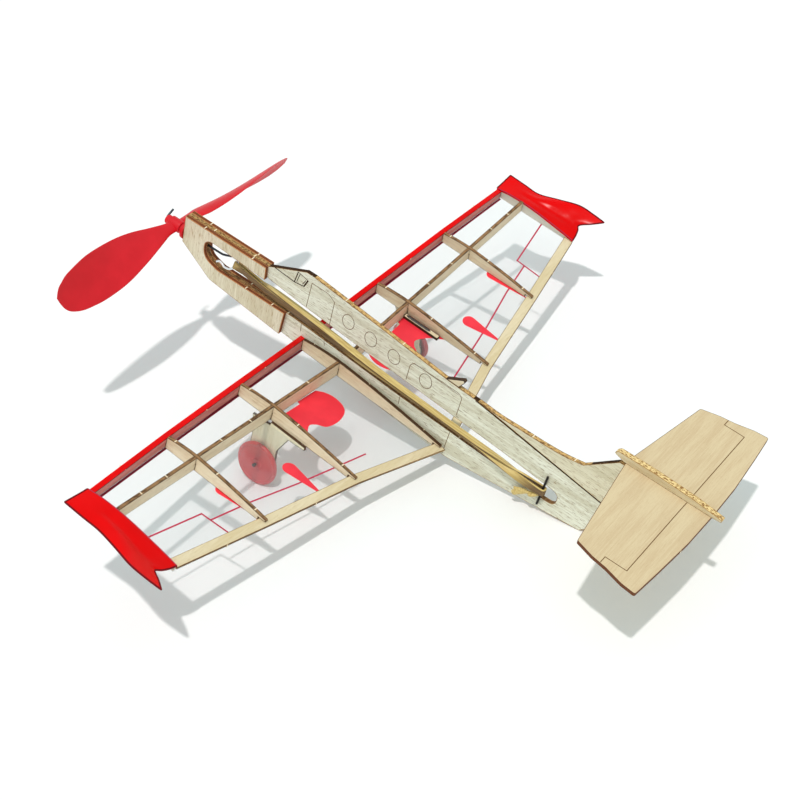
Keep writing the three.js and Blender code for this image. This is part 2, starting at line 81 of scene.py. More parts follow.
THRUST_Z = -10.6        # height of the propeller axis
CHORD_AHEAD = 23.0      # from the spar line to the front of the root chord
spin = joints["propeller_spin"]
X = Vector((1, 0, 0))
Y = Vector(spin["axis"]).normalized()
Z = X.cross(Y)
AIR = frame_of(X, Y, Z, Vector(spin["pos_m"]) - THRUST_Z * MM * Z)
MIRROR = Matrix.Scale(-1, 4, (1, 0, 0))


def panel_frame():
    """Right wing panel: u out along the span, v forward, w up from the covering."""
    at = [AIR.inverted() @ v.co for v in nodes["wing_film_right"].data.vertices]
    root = [p for p in at if p.x < min(q.x for q in at) + 5]
    nose = max(root, key=lambda p: p.y + 5 * p.z)
    tail = max(root, key=lambda p: 5 * p.z - p.y)
    face = max(nodes["wing_film_right"].data.polygons, key=lambda f: f.area * (f.normal.z > 0))
    v = (nose - tail).normalized()
    w = (AIR.inverted().to_3x3() @ face.normal).normalized()
    u = v.cross(w).normalized()
    m = Matrix((u, v, w)).transposed().to_4x4()
    m.translation = nose - CHORD_AHEAD * v + 0.1 * w
    return AIR @ m


WING = panel_frame()
hub_axis = Vector(joints["wheel_spin_right"]["axis"]).normalized()
GEAR = frame_of(-hub_axis, Y, (-hub_axis).cross(Y), Vector(joints["wheel_spin_right"]["pos_m"]))
SIDES = (("right", Matrix.Identity(4)), ("left", MIRROR))


# ------------------------------------------------------------ materials
class Shade:
    """A Principled material with short names for the nodes used here."""

    def __init__(self, name, rough=0.5, **sockets):
        self.mat = bpy.data.materials.new(name)
        self.mat.use_nodes = True
        self.tree = self.mat.node_tree
        self.out = self.tree.nodes["Principled BSDF"]
        self.out.inputs["Roughness"].default_value = rough
        for key_, value in sockets.items():
            self.out.inputs[key_.replace("_", " ")].default_value = value

    def put(self, socket, value):
        if isinstance(value, bpy.types.NodeSocket):
            self.tree.links.new(value, socket)
        else:
            socket.default_value = value

    def attr(self, name, out="Vector"):
        n = self.tree.nodes.new("ShaderNodeAttribute")
        n.attribute_name = name
        return n.outputs[out]

    def scaled(self, vector, by, shift=(0, 0, 0)):
        n = self.tree.nodes.new("ShaderNodeVectorMath")
        n.operation = "MULTIPLY_ADD"
        for s, value in zip(n.inputs, (vector, by, shift)):
            self.put(s, value)
        return n.outputs[0]

    def noise(self, vector, scale=1.0, detail=2.0, rough=0.5):
        n = self.tree.nodes.new("ShaderNodeTexNoise")
        self.put(n.inputs["Vector"], vector)
        for name, value in (("Scale", scale), ("Detail", detail), ("Roughness", rough)):
            n.inputs[name].default_value = value
        return n.outputs[0]

    def math(self, op, a, b=0.0, clamp=False):
        n = self.tree.nodes.new("ShaderNodeMath")
        n.operation = op
        n.use_clamp = clamp
        self.put(n.inputs[0], a)
        self.put(n.inputs[1], b)
        return n.outputs[0]

    def step(self, value, low, high, to=1.0):
        n = self.tree.nodes.new("ShaderNodeMapRange")
        n.interpolation_type = "SMOOTHSTEP"
        self.put(n.inputs["Value"], value)
        n.inputs["From Min"].default_value = low
        n.inputs["From Max"].default_value = high
        n.inputs["To Max"].default_value = to
        return n.outputs[0]

    def mix(self, factor, a, b):
        n = self.tree.nodes.new("ShaderNodeMix")
        n.data_type = "RGBA"
        for i, value in ((0, factor), (6, a), (7, b)):
            self.put(n.inputs[i], (*value, 1) if isinstance(value, tuple) else value)
        return n.outputs[2]

    def colour(self, value):
        self.put(self.out.inputs["Base Color"], (*value, 1) if isinstance(value, tuple) else value)
        return self

    def bump(self, height, depth, strength=1.0):
        n = self.tree.nodes.new("ShaderNodeBump")
        n.inputs["Strength"].default_value = strength
        n.inputs["Distance"].default_value = depth * MM
        self.put(n.inputs["Height"], height)
        self.tree.links.new(n.outputs[0], self.out.inputs["Normal"])
        return self


def wood(name, pale, deep, fleck, char, char_deep, rim=None, flecks=0.6, fine=1.0, speckle=0.6,
         soot_run=(0.22, 1.6, 1.6)):
    """Sawn veneer: streaks and short flecks along the grain. burn is 0 on the sheet's faces, 0.6 on its
    laser-cut walls and 1 along their rims; toast darkens a wall further, which inside the band slot is painted
    shade.
    The grain attribute holds millimetres along, across and through the sheet."""
    s = Shade(name, 0.68, Specular_IOR_Level=0.25)
    at = s.scaled(s.attr("grain"), (fine, fine, fine))
    broad = s.noise(s.scaled(at, (0.02, 0.16, 0.16)), 1, 2)
    streak = s.noise(s.scaled(at, (0.035, 0.9, 0.9), (7, 3, 1)), 1, 3, 0.6)
    pores = s.noise(s.scaled(at, (0.3, 3.2, 3.2), (1, 9, 4)), 1, 2, 0.55)
    hair = s.noise(s.scaled(at, (0.16, 9.0, 9.0), (5, 2, 8)), 1, 1)
    tone = s.mix(s.step(s.math("ADD", s.math("MULTIPLY", broad, 0.5), s.math("MULTIPLY", streak, 0.5)),
                        0.38, 0.62), pale, deep)
    tone = s.mix(s.step(hair, 0.52, 0.72, 0.30), tone, fleck)
    tone = s.mix(s.step(pores, 0.57, 0.69, flecks), tone, fleck)
    soot = s.noise(s.scaled(at, soot_run, (3, 3, 3)), 1, 3, 0.65)
    edge = s.noise(s.scaled(at, (1.6, 1.6, 1.6), (2, 6, 1)), 1, 2)
    burn = s.math("ADD", s.attr("burn", "Fac"), s.math("MULTIPLY", s.math("SUBTRACT", edge, 0.5), 0.35))
    # extra wall darkness from the toast attribute; inside the core's band slot this is painted shade
    dark = s.math("ADD", s.attr("toast", "Fac"), s.step(soot, 0.46, 0.6, speckle), clamp=True)
    wall = s.mix(s.step(burn, 0.72, 0.98), s.mix(dark, char, char_deep), rim or char_deep)
    s.colour(s.mix(s.step(burn, 0.2, 0.6), tone, wall))
    return s.bump(s.math("ADD", s.math("MULTIPLY", pores, 0.6), s.math("MULTIPLY", hair, 0.4)), 0.06, 0.5).mat


def rgb(r, g, b):
    """Colour given as it shows on screen, 0 to 255."""
    return tuple((c / 255 / 12.92) if c <= 10 else ((c / 255 + 0.055) / 1.055) ** 2.4 for c in (r, g, b))


M = {
    "core": wood("balsa core", rgb(236, 236, 218), rgb(210, 206, 182), rgb(136, 112, 72), rgb(212, 172, 108),
                 rgb(104, 66, 30), flecks=0.9, speckle=0.8, soot_run=(0.7, 1.6, 1.6)),
    "fin": wood("balsa fin", rgb(228, 221, 194), rgb(208, 200, 170), rgb(142, 110, 68), rgb(212, 172, 108),
                rgb(104, 66, 30), flecks=0.8, speckle=0.9, soot_run=(0.7, 1.6, 1.6)),
    "cheek": wood("balsa cheek", rgb(228, 219, 194), rgb(208, 196, 166), rgb(168, 138, 94), rgb(124, 62, 22),
                  rgb(70, 32, 12), rgb(214, 148, 92), flecks=0.7, speckle=0.5, soot_run=(1.6, 0.25, 1.6)),
    "rib": wood("balsa rib", rgb(237, 221, 192), rgb(223, 201, 168), rgb(168, 131, 89), rgb(150, 112, 74),
                rgb(70, 46, 26), flecks=0.5, speckle=0.9, soot_run=(0.3, 1.6, 1.6)),
    "pale": wood("pale rib", rgb(222, 216, 204), rgb(206, 198, 184), rgb(180, 168, 148), rgb(206, 196, 180),
                 rgb(170, 154, 132), flecks=0.4),
    "strip": wood("strip wood", rgb(224, 209, 176), rgb(212, 194, 154), rgb(180, 150, 104), rgb(190, 158, 110),
                  rgb(104, 76, 46), flecks=0.35),
    "ply": wood("tail wood", rgb(216, 196, 158), rgb(207, 184, 146), rgb(174, 142, 100), rgb(112, 62, 30),
                rgb(62, 34, 18), flecks=0.22, fine=1.7, speckle=0.3),
    "cap": wood("tail cap wood", rgb(222, 206, 170), rgb(206, 186, 148), rgb(160, 126, 76), rgb(238, 208, 146),
                rgb(142, 98, 46), flecks=0.5, speckle=1.0, soot_run=(0.8, 1.8, 1.8)),
    "pink": wood("stained wood", rgb(222, 146, 138), rgb(198, 116, 110), rgb(140, 64, 62), rgb(150, 66, 60),
                 rgb(96, 30, 32), flecks=0.5),
    "leg": wood("leg wood", rgb(226, 218, 190), rgb(210, 200, 168), rgb(170, 150, 110), rgb(84, 56, 34),
                rgb(48, 32, 20), flecks=0.5, speckle=0.3),
    "dusky": wood("dark-edged wood", rgb(232, 218, 188), rgb(214, 198, 164), rgb(170, 140, 96),
                  rgb(70, 44, 24), rgb(34, 22, 14), flecks=0.5),
    "nick": Shade("uncut nick", 0.7).colour(rgb(236, 218, 184)).mat,
    "scorch": Shade("laser line", 0.8, Specular_IOR_Level=0.1).colour(rgb(112, 84, 52)).mat,
    "soot": Shade("deep laser line", 0.85, Specular_IOR_Level=0.1).colour(rgb(58, 38, 22)).mat,
}


def plastic(name, base, deep, rough, bump=0.02, scale=0.08, gloss=0.5):
    """Plastic or film with a slow drift of colour and a faint unevenness."""
    s = Shade(name, rough, Specular_IOR_Level=gloss)
    at = s.attr("grain")
    s.colour(s.mix(s.step(s.noise(s.scaled(at, (scale,) * 3), 1, 3), 0.3, 0.7), base, deep))
    return s.bump(s.noise(s.scaled(at, (scale * 6,) * 3), 1, 2), bump, 0.4).mat


M["prop"] = plastic("moulded red", rgb(217, 22, 36), rgb(206, 16, 30), 0.42, gloss=0.3)
M["tip"] = plastic("formed red film", rgb(230, 0, 2), rgb(208, 0, 0), 0.24, 0.3, 0.03, gloss=0.1)
M["rim"] = Shade("dark red rim", 0.6, Specular_IOR_Level=0.1).colour(rgb(112, 8, 18)).mat
M["seam"] = Shade("film seam", 0.4).colour(rgb(176, 10, 56)).mat
M["print"] = plastic("red print", rgb(247, 44, 62), rgb(232, 34, 54), 0.45)
M["line"] = Shade("maroon print", 0.5).colour(rgb(186, 34, 70)).mat
# the red print band behind the leading edge, drawn as a darker maroon copy of the red print: real print, with
# painted shade in its colour
M["band"] = Shade("maroon band", 0.4).colour(rgb(128, 16, 42)).mat
M["wheel"] = plastic("wheel red", rgb(200, 20, 34), rgb(180, 12, 26), 0.4)
M["steel"] = Shade("bright wire", 0.34, Metallic=1.0).colour(rgb(240, 243, 246)).mat
M["blued"] = Shade("blued wire", 0.4, Metallic=1.0).colour(rgb(74, 78, 84)).mat
M["glue"] = Shade("dried glue", 0.22, Specular_IOR_Level=0.8).colour(rgb(58, 54, 52)).mat
M["dark"] = Shade("dark pin", 0.5, Specular_IOR_Level=0.2).colour(rgb(26, 20, 18)).mat


def rubber():
    """Tan rubber with lines along it; faces that do not look up get painted shade, a darker copy of the tan."""
    s = Shade("tan rubber", 0.5)
    at = s.attr("grain")
    lines = s.noise(s.scaled(at, (0.03, 1.5, 1.5)), 1, 2)
    top = s.mix(s.step(lines, 0.35, 0.65), rgb(218, 194, 124), rgb(192, 162, 92))
    # painted shade: the second colour is a darker copy of the same tan rubber, mixed in where the vertex attribute
    # says the face does not look up
    sides = s.mix(s.step(lines, 0.35, 0.65), rgb(122, 92, 48), rgb(96, 70, 34))
    s.colour(s.mix(s.attr("burn", "Fac"), top, sides))
    return s.bump(s.noise(s.scaled(at, (0.2, 3, 3)), 1, 2), 0.05, 0.4).mat


M["rubber"] = rubber()


def film_material():
    """Thin frosted covering film."""
    s = Shade("clear film", 0.34, IOR=1.2, Alpha=0.14)
    s.out.inputs["Transmission Weight"].default_value = 0.6
    s.colour(rgb(196, 206, 206))
    return s.mat


M["film"] = film_material()


# ------------------------------------------------------------ mesh helpers
def finish_piece(name, bm, mats, body, stands_for=(), to=None, order=(0, 1, 2), burn=None, smooth=30):
    """Links bm, whose vertices are in the row frame, as a piece of the object.
    to is the frame that the grain attribute is measured in, order its axes along, across, through."""
    me = bpy.data.meshes.new(name)
    grain = bm.verts.layers.float_vector.new("grain")
    layer = bm.verts.layers.float.get("burn") or bm.verts.layers.float.new("burn")
    back = (to or AIR).inverted()
    for v in bm.verts:
        p = back @ v.co
        v[grain] = (p[order[0]], p[order[1]], p[order[2]])
        if burn is not None:
            v[layer] = burn
    bm.to_mesh(me)
    bm.free()
    for m in mats:
        me.materials.append(m)
    if smooth:
        for f in me.polygons:
            f.use_smooth = True
        me.set_sharp_from_angle(angle=math.radians(smooth))
    ob = bpy.data.objects.new(name, me)
    scene.collection.objects.link(ob)
    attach(ob, body)
    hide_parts(*stands_for)
    return ob


def outward(bm):
    """Turns every face of bm to look out of its body."""
    bmesh.ops.recalc_face_normals(bm, faces=bm.faces)


def cad_mesh(node):
    """The CAD solid of a node, its flat faces whole again."""
    bm = bmesh.new()
    bm.from_mesh(nodes[node].data)
    bmesh.ops.remove_doubles(bm, verts=bm.verts, dist=2e-6)
    bmesh.ops.dissolve_limit(bm, angle_limit=math.radians(0.5), verts=bm.verts, edges=bm.edges)
    bm.normal_update()
    return bm


def block(bm, centre, axes, half, index):
    """Adds a small box to bm with its own material index and no burn."""
    made = bmesh.ops.create_cube(bm, size=2)["verts"]
    m = Matrix([a * h for a, h in zip(axes, half)]).transposed().to_4x4()
    m.translation = centre
    bmesh.ops.transform(bm, matrix=m, verts=made)
    faces = {f for v in made for f in v.link_faces}
    for f in faces:
        f.material_index = index
    return made


def veneer(name, node, look, to, order, halo=0.3, bevel=0.08, wall=0.3, nick=0.25,
           nicks=(), toast=lambda p: 0.0):
    """A laser-cut sheet: the CAD sheet with softened corners, burnt walls, a burnt halo round its outline
    and pale stubs where it was broken out. nicks are points in frame to; toast darkens walls by place, as painted
    shade where it is used inside the band slot."""
    bm = cad_mesh(node)
    across = max(bm.faces, key=lambda f: f.calc_area()).normal.copy()

    def flat(f):
        return abs(f.normal.dot(across)) > 0.98

    rims = [e for e in bm.edges if len(e.link_faces) == 2 and flat(e.link_faces[0]) != flat(e.link_faces[1])]
    span = [v.co.dot(across) for v in bm.verts]
    middle, half = (max(span) + min(span)) / 2, (max(span) - min(span)) / 2
    stubs = []
    for p in nicks:
        at = to @ Vector(p)
        best = None
        for e in rims:
            a, b = e.verts[0].co, e.verts[1].co
            t = max(0.0, min(1.0, (at - a).dot(b - a) / max((b - a).length_squared, 1e-12)))
            q = a + t * (b - a)
            if best is None or (q - at).length < best[0]:
                side = next(f for f in e.link_faces if not flat(f))
                best = ((q - at).length, q, (b - a).normalized(), side.normal.copy())
        stubs.append(best[1:])
    bmesh.ops.bevel(bm, geom=rims, offset=bevel * MM, segments=2, profile=0.5, affect="EDGES",
                    clamp_overlap=True)
    bm.normal_update()
    faces = [f for f in bm.faces if flat(f)]
    walls = [f for f in bm.faces if abs(f.normal.dot(across)) < 0.1 and f.calc_area() > 1e-9]
    burn = bm.verts.layers.float.new("burn")
    for v in bm.verts:
        v[burn] = 1.0
    dark = bm.verts.layers.float.new("toast")
    back = to.inverted()
    for group, depth, value, even in ((faces, halo * MM, 0.0, True), (walls, half * wall, 0.6, False)):
        bmesh.ops.inset_region(bm, faces=group, thickness=depth, use_boundary=True, use_even_offset=even)
        for f in group:
            for v in f.verts:
                v[burn] = value
                v[dark] = toast(back @ v.co)
    for q, along, out in stubs:
        q = q + across * (middle - q.dot(across)) - out * 0.03 * MM
        for v in block(bm, q, (along, out, across), (nick * MM, 0.09 * MM, half * 0.9), 1):
            v[burn] = 0.0
    return finish_piece(name, bm, [M[look], M["nick"]], "airframe", (node,), to, order, smooth=35)


def ribbon(bm, points, width, to, closed=False, thick=0.02, index=0):
    """Adds a flat band along points, [a, b] pairs that to maps into the row frame as (a, b, 0).
    It rises by thick."""
    n = len(points)
    p = [Vector(q) for q in points]
    rows = []
    for i in range(n):
        before = p[i - 1] if (closed or i) else p[0] * 2 - p[1]
        after = p[(i + 1) % n] if (closed or i < n - 1) else p[-1] * 2 - p[-2]
        d0, d1 = (p[i] - before).normalized(), (after - p[i]).normalized()
        side = Vector((-(d0 + d1).y, (d0 + d1).x)).normalized()
        reach = width / 2 / max(0.5, side.dot(Vector((-d0.y, d0.x))))
        rows.append([bm.verts.new(to @ Vector((*(p[i] + side * reach * k), h)))
                     for k, h in ((1, 0), (1, thick), (-1, thick), (-1, 0))])
    for i in range(n if closed else n - 1):
        a, b = rows[i], rows[(i + 1) % n]
        for k in range(4):
            bm.faces.new((a[k], a[(k + 1) % 4], b[(k + 1) % 4], b[k])).material_index = index
    if not closed:
        bm.faces.new(rows[0][::-1]).material_index = index
        bm.faces.new(rows[-1]).material_index = index


def curve(points, steps, closed=False):
    """Smooth line through points of any size, with steps parts per span."""
    n = len(points)
    out = []
    spans = n if closed else n - 1
    for i in range(spans):
        p = [Vector(points[(i + k) % n] if closed else points[min(max(i + k, 0), n - 1)]) for k in (-1, 0, 1, 2)]
        for j in range(steps):
            t = j / steps
            out.append(0.5 * ((2 * p[1]) + (p[2] - p[0]) * t + (2 * p[0] - 5 * p[1] + 4 * p[2] - p[3]) * t * t
                              + (3 * p[1] - p[0] - 3 * p[2] + p[3]) * t ** 3))
    if not closed:
        out.append(Vector(points[-1]))
    return out


def loft(bm, rings, to, index=0, closed=False):
    """Skin through rings of points in frame to, capped at both ends or closed on itself."""
    rows = [[bm.verts.new(to @ Vector(p)) for p in ring] for ring in rings]
    n = len(rows[0])
    pairs = list(zip(rows, rows[1:])) + ([(rows[-1], rows[0])] if closed else [])
    for a, b in pairs:
        for k in range(n):
            bm.faces.new((a[k], a[(k + 1) % n], b[(k + 1) % n], b[k])).material_index = index
    if not closed:
        bm.faces.new(rows[0][::-1]).material_index = index
        bm.faces.new(rows[-1]).material_index = index
    return rows


def sweep(bm, path, section, ups, to, index=0):
    """Carries section, [across, high] pairs, along path, high staying near the direction in ups."""
    rings = []
    for i, (p, up) in enumerate(zip(path, ups)):
        d = (path[min(i + 1, len(path) - 1)] - path[max(i - 1, 0)]).normalized()
        side = d.cross(up).normalized()
        top = side.cross(d)
        rings.append([p + side * a + top * b for a, b in section])
    loft(bm, rings, to, index=index)


def tube(bm, path, r, to, ring=14, index=0, taper=0.35):
    """Round wire along path with softened ends."""
    up = Vector((0.31, 0.17, 0.94)).normalized()
    rings = []
    last = len(path) - 1
    side = (path[1] - path[0]).cross(up).normalized()
    for i, p in enumerate(path):
        d = (path[min(i + 1, last)] - path[max(i - 1, 0)]).normalized()
        side = (side - d * side.dot(d)).normalized()
        top = side.cross(d)
        size = r * (1 if 0 < i < last else 1 - taper)
        rings.append([p + (side * math.cos(a) + top * math.sin(a)) * size
                      for a in (2 * math.pi * k / ring for k in range(ring))])
    loft(bm, rings, to, index=index)


def lathe(bm, profile, to, ring=64, index=0, bore=0.0):
    """Turns profile, [radius, along Y] pairs, about Y of frame to."""
    rings = [[(r * math.cos(a), y, r * math.sin(a)) for a in (2 * math.pi * k / ring for k in range(ring))]
             for r, y in profile]
    loft(bm, rings, to, index=index, closed=bore > 0)


def rounded(profile, r, parts=4):
    """Profile with its corners rounded by about r."""
    out = []
    for i, p in enumerate(profile):
        p = Vector(p)
        if i in (0, len(profile) - 1):
            out.append(p)
            continue
        a, b = Vector(profile[i - 1]) - p, Vector(profile[i + 1]) - p
        d = min(r, a.length * 0.45, b.length * 0.45)
        a, b = p + a.normalized() * d, p + b.normalized() * d
        for k in range(parts + 1):
            t = k / parts
            out.append((1 - t) ** 2 * a + 2 * t * (1 - t) * p + t * t * b)
    return out


def arc(cx, cy, r, start, end, parts):
    """Points on a circle from start to end, in degrees."""
    return [(cx + r * math.cos(math.radians(start + (end - start) * k / parts)),
             cy + r * math.sin(math.radians(start + (end - start) * k / parts))) for k in range(parts + 1)]


# ------------------------------------------------------------ fuselage
def inside_core(p):
    """Walls inside the band slot darkened as painted shade of the band, and darker walls along the top of the nose.
    """
    if -206 < p.y < -9 and p.z < -4.4 - 0.087 * max(0, -p.y - 46) + 0.6 and p.z > -28.5 + 0.05 * (p.y + 190):
        return 0.75 if p.z > (-18.6 if p.y > -60 else -19.0 - 0.061 * (-p.y - 60)) - 0.8 else 0.0
    return 0.4 if p.y > -47 and p.z > -2 else 0.0


veneer("core_sheet", "fuselage_core", "core", AIR, (1, 2, 0), toast=inside_core,
       nicks=[(0, -15, 0), (0, -38, 0), (0, -88, 9), (0, -60, -18.6), (0, -120, -13), (0, -155, -24.9),
              (0, -119, 4), (0, -48, -30), (0, -100, -36), (0, -180, -34)])
for side in ("right", "left"):
    veneer(f"cheek_{side}", f"nose_doubler_{side}", "cheek", AIR, (2, 1, 0),
           nicks=[(0, -11, 0), (0, -38.5, 0), (0, -37, -18.2), (0, -52, -18.1), (0, -35, -28.4), (0, -28, -5.7)])
veneer("fin_sheet", "tail_fin", "fin", AIR, (1, 2, 0), halo=0.2,
       nicks=[(0, -186, 0), (0, -206, 1), (0, -216, 8), (0, -246, 2)])
veneer("aerial", "antenna_blade", "dusky", AIR, (1, 2, 0), halo=0.35, wall=0.2)
veneer("tailplane", "stabilizer", "ply", AIR, (0, 1, 2),
       nicks=[(24, -262, 15), (-24, -262, 15), (0.4, -265, 15)])
veneer("tail_cap", "fin_cap", "cap", AIR, (1, 2, 0), halo=0.2, wall=0.15)

# laser-drawn lines on both faces of the core: cockpit, doors, windows
SIDE = Matrix(((0, 0, 1, 0), (1, 0, 0, 0), (0, 1, 0, 0), (0, 0, 0, 1)))
door = [(-124.3, -12.5), (-124.6, -4.8), *arc(-127.6, -4.6, 3.0, 10, 80, 4), (-148.0, -2.1),
        *arc(-148.6, -5.0, 2.9, 100, 170, 4), (-151.1, -14.0)]
seam = (-159.1, -0.1)
drawn = [
    (0.3, False, [(-69.0, -8.4), (-70.0, 5.7), (-79.1, 5.6), (-82.7, 3.2), (-82.2, -10.0)]),
    (0.3, False, [(-68.0, -19.2), (-68.2, -23.6)]), (0.3, False, [(-80.9, -20.2), (-81.6, -22.7)]),
    *[(0.3, True, [(y + 0.86 * a, z + 1.05 * b) for a, b in arc(0, 0, 3.6, 0, 360, 36)[:-1]]) for y, z in
      ((-91.2, -2.2), (-103.6, -3.7), (-116.3, -5.0), (-133.4, -6.9))],
    (0.3, False, door), (0.25, False, [(-126.2, -1.5), (-149.6, -3.0)]),
    (0.3, False, [(-123.4, -23.3), (-123.4, -28.0)]), (0.3, False, [(-150.3, -25.0), (-149.4, -38.9)]),
]
cockpit = [(0.5, False, [(-49.8, 1.5), (-60.9, 0.5), (-66.1, 1.3)]),
           (0.5, False, [(-62.2, 6.9), (-60.9, 0.5)]), (0.35, False, [(-63.3, 6.4), (-62.1, 1.5)]),
           (0.35, False, [(-62.2, 6.9), (-67.8, 5.6)]), (0.7, False, [(-67.8, 5.6), (-66.1, 1.3)]),
           (0.35, False, [(-66.7, 5.0), (-65.2, 1.9)]),
           (0.6, False, [(seam[0] + 1.5, seam[1] - 0.25), (-234.3, -12.8)])]
for name, lines, look in (("drawn_lines", drawn, "scorch"), ("cockpit_lines", cockpit, "soot")):
    bm = bmesh.new()
    for sign in (-1, 1):
        to = AIR @ Matrix.Scale(sign, 4, (1, 0, 0)) @ Matrix.Translation((0.995, 0, 0)) @ SIDE
        for width, closed, points in lines:
            ribbon(bm, points, width, to, closed)
    outward(bm)
    finish_piece(name, bm, [M[look]], "airframe")

# soot along the windscreen, behind the aerial and under the tailplane's front edge
bm = bmesh.new()
for start, end, width in (((-46.7, 0.1), (-66.0, 9.31), 1.85), ((-66.0, 9.5), (-70.9, 9.5), 1.85),
                          ((-156.4, 0.07), (-158.9, -0.07), 1.9), ((-210.3, 2.15), (-222.9, 14.1), 1.7)):
    p, q = Vector((0, *start)), Vector((0, *end))
    go = (q - p).normalized()
    rise = Vector((1, 0, 0)).cross(go)
    rise = rise if rise.z > 0 else -rise
    m = Matrix((go, rise.cross(go), rise)).transposed().to_4x4()
    m.translation = p
    ribbon(bm, [(0, 0), ((q - p).length, 0)], width, AIR @ m, thick=0.03)
outward(bm)
finish_piece("sooty_edges", bm, [M["soot"]], "airframe")

# etched elevator lines on the tailplane
bm = bmesh.new()
for sign in (-1, 1):
    to = AIR @ Matrix.Scale(sign, 4, (1, 0, 0)) @ Matrix.Translation((0, 0, 15.8 - 0.005))
    ribbon(bm, [(50.9, -244.2), (47.4, -244.2), (47.3, -253.5), (1.4, -253.5)], 0.35, to)
outward(bm)
finish_piece("elevator_lines", bm, [M["scorch"]], "airframe")

# ------------------------------------------------------------ propeller, shaft, bearing
HUB_Y = 6.9             # middle of the blades along the shaft
PITCH = 222             # advance of the blades in one turn
STEEPEST = 66           # blade angle near the hub, degrees
# each: radius, chord ahead of the blade line and behind it, thickness
STATIONS = [(2.0, 2.6, 2.6, 2.6), (7, 3.4, 2.8, 2.3), (12, 4.5, 4.2, 1.9), (17, 5.6, 5.7, 1.6),
            (23, 6.7, 7.5, 1.4), (29, 7.5, 9.2, 1.3), (35, 8.0, 10.9, 1.2), (41, 8.2, 12.2, 1.1),
            (47, 8.2, 13.0, 1.0), (53, 7.9, 13.5, 0.95), (58, 7.1, 13.4, 0.9), (63, 5.9, 13.0, 0.85),
            (67, 4.7, 11.9, 0.85), (70, 2.9, 10.4, 0.8), (72, 1.5, 8.4, 0.75), (73.4, -0.5, 5.6, 0.65),
            (74.2, -2.4, 3.0, 0.5)]
PROP = AIR @ Matrix.Translation((0, 0, THRUST_Z)) @ Matrix.Rotation(math.radians(2.8), 4, "Y")
bm = bmesh.new()
for hand in (1, -1):
    rings = []
    for r, ahead, behind, thick in curve(STATIONS, 4):
        angle = min(math.atan(PITCH / (2 * math.pi * r)), math.radians(STEEPEST))
        chord = ahead + behind
        ring = []
        for k in range(40):
            a = 2 * math.pi * k / 40
            c = math.cos(a) * chord / 2 + (ahead - behind) / 2
            w = math.sin(a) * thick / 2 + 0.05 * chord * (math.sin(a) ** 2 - math.cos(a) ** 2 / 4)
            ring.append((hand * r, HUB_Y + c * math.sin(angle) + w * math.cos(angle),
                         hand * (w * math.sin(angle) - c * math.cos(angle))))
        rings.append(ring)
    loft(bm, rings, PROP)
lathe(bm, rounded([(0.75, 3.85), (2.5, 3.85), (2.9, 4.3), (2.9, 10.2), (2.2, 10.6), (2.2, 12.4), (1.9, 12.8),
                   (0.75, 12.8)], 0.3), PROP)
outward(bm)
finish_piece("prop_moulding", bm, [M["prop"]], "propeller", ("propeller",), PROP)

bm = bmesh.new()
lathe(bm, rounded([(0.75, 0.75), (3.9, 0.75), (3.9, 2.1), (2.7, 2.4), (2.7, 3.5), (0.75, 3.5)], 0.25),
      AIR @ Matrix.Translation((0, 0, THRUST_Z)))
outward(bm)
finish_piece("bearing", bm, [M["prop"]], "airframe", ("thrust_bearing",))

TILT = math.radians(40)     # lean of the hook from level
WIRE_R = 0.5


def in_hook(y, s):
    """Point of the hook s to the side of the shaft's line, in the plane that the hook lies in."""
    return (-s * math.cos(TILT), y, THRUST_Z - s * math.sin(TILT))


wire = [(5.0, 13.9, THRUST_Z + 2.1), (3.2, 13.75, THRUST_Z + 1.35), (1.2, 13.6, THRUST_Z + 0.4),
        (0.15, 13.0, THRUST_Z), (0, 11.8, THRUST_Z), (0, 4, THRUST_Z), (0, -6, THRUST_Z), in_hook(-18.5, 0),
        in_hook(-21.5, -0.4), in_hook(-24.5, -1.4), in_hook(-27.4, -1.5), in_hook(-28.9, -0.4),
        in_hook(-29.2, 0.9), in_hook(-28.7, 2.3), in_hook(-27.0, 3.8), in_hook(-24.6, 4.2), in_hook(-22.6, 3.5),
        in_hook(-20.9, 3.2), in_hook(-19.7, 4.2)]
bm = bmesh.new()
tube(bm, curve(wire, 8), WIRE_R, AIR, 16)
outward(bm)
for f in bm.faces:
    f.material_index = (AIR.inverted() @ f.calc_center_median()).y > -25.0 and (
        AIR.inverted() @ f.calc_center_median()).z > THRUST_Z - 0.6
finish_piece("shaft_wire", bm, [M["steel"], M["blued"]], "propeller", ("prop_shaft",), smooth=60)

# ------------------------------------------------------------ rubber band
def rounded_bar(w, h, r, parts=4):
    """Outline of a bar 2w by 2h with corners of radius r."""
    out = []
    for cx, cy, start in ((w - r, h - r, 0), (r - w, h - r, 90), (r - w, r - h, 180), (w - r, r - h, 270)):
        out += arc(cx, cy, r, start, start + 90, parts)
    return out


def along(table, y):
    """Value at y in a table of (y, value), falling y, joined by straight lines."""
    for (y0, a), (y1, b) in zip(table, table[1:]):
        if y >= y1:
            return a + (b - a) * min(1, max(0, (y - y0) / (y1 - y0)))
    return table[-1][1]


